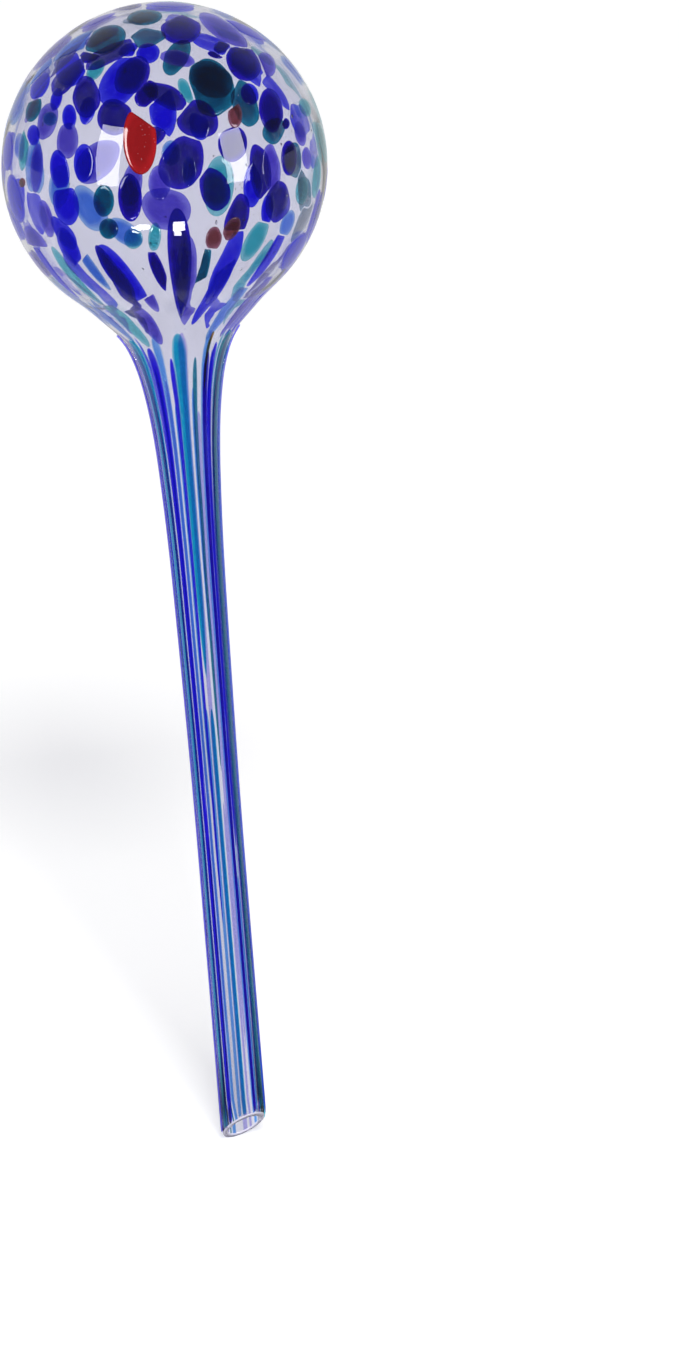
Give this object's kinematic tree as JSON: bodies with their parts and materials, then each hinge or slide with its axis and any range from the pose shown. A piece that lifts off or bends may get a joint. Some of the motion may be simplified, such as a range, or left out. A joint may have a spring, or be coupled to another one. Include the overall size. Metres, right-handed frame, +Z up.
{
  "type": "watering globe",
  "caption": "Blown glass ball with coloured glass chips, drawn out into a long hollow stem with a slanted tip, that waters a potted plant slowly from the soil.",
  "frame": {"origin": "on the stem's axis, level with the lowest point of the slanted tip", "axes": "+Z up along the stem's axis, from the tip to the crown of the ball; -Y is the side that the picture shows, and +X is to its right"},
  "size_m": [0.08, 0.08, 0.287],
  "materials": {
    "clear_glass": "gloss, see-through",
    "navy_glass": "gloss, see-through",
    "royal_blue_glass": "gloss, see-through",
    "violet_glass": "gloss, see-through",
    "light_blue_glass": "gloss, see-through",
    "dark_teal_glass": "gloss, see-through",
    "turquoise_glass": "gloss, see-through",
    "brown_glass": "gloss, see-through",
    "red_glass": "gloss, see-through",
    "lavender_glass": "gloss, see-through",
    "amber_glass": "gloss, see-through"
  },
  "bodies": {
    "root": {"clear_globe": "clear_glass", "navy_chips": "navy_glass", "royal_blue_chips": "royal_blue_glass", "violet_chips": "violet_glass", "light_blue_chips": "light_blue_glass", "dark_teal_chips": "dark_teal_glass", "turquoise_chips": "turquoise_glass", "brown_chips": "brown_glass", "red_chip": "red_glass", "navy_threads": "navy_glass", "royal_blue_threads": "royal_blue_glass", "lavender_threads": "lavender_glass", "light_blue_threads": "light_blue_glass", "turquoise_threads": "turquoise_glass", "teal_threads": "dark_teal_glass", "amber_thread": "amber_glass"}
  },
  "joints": []
}
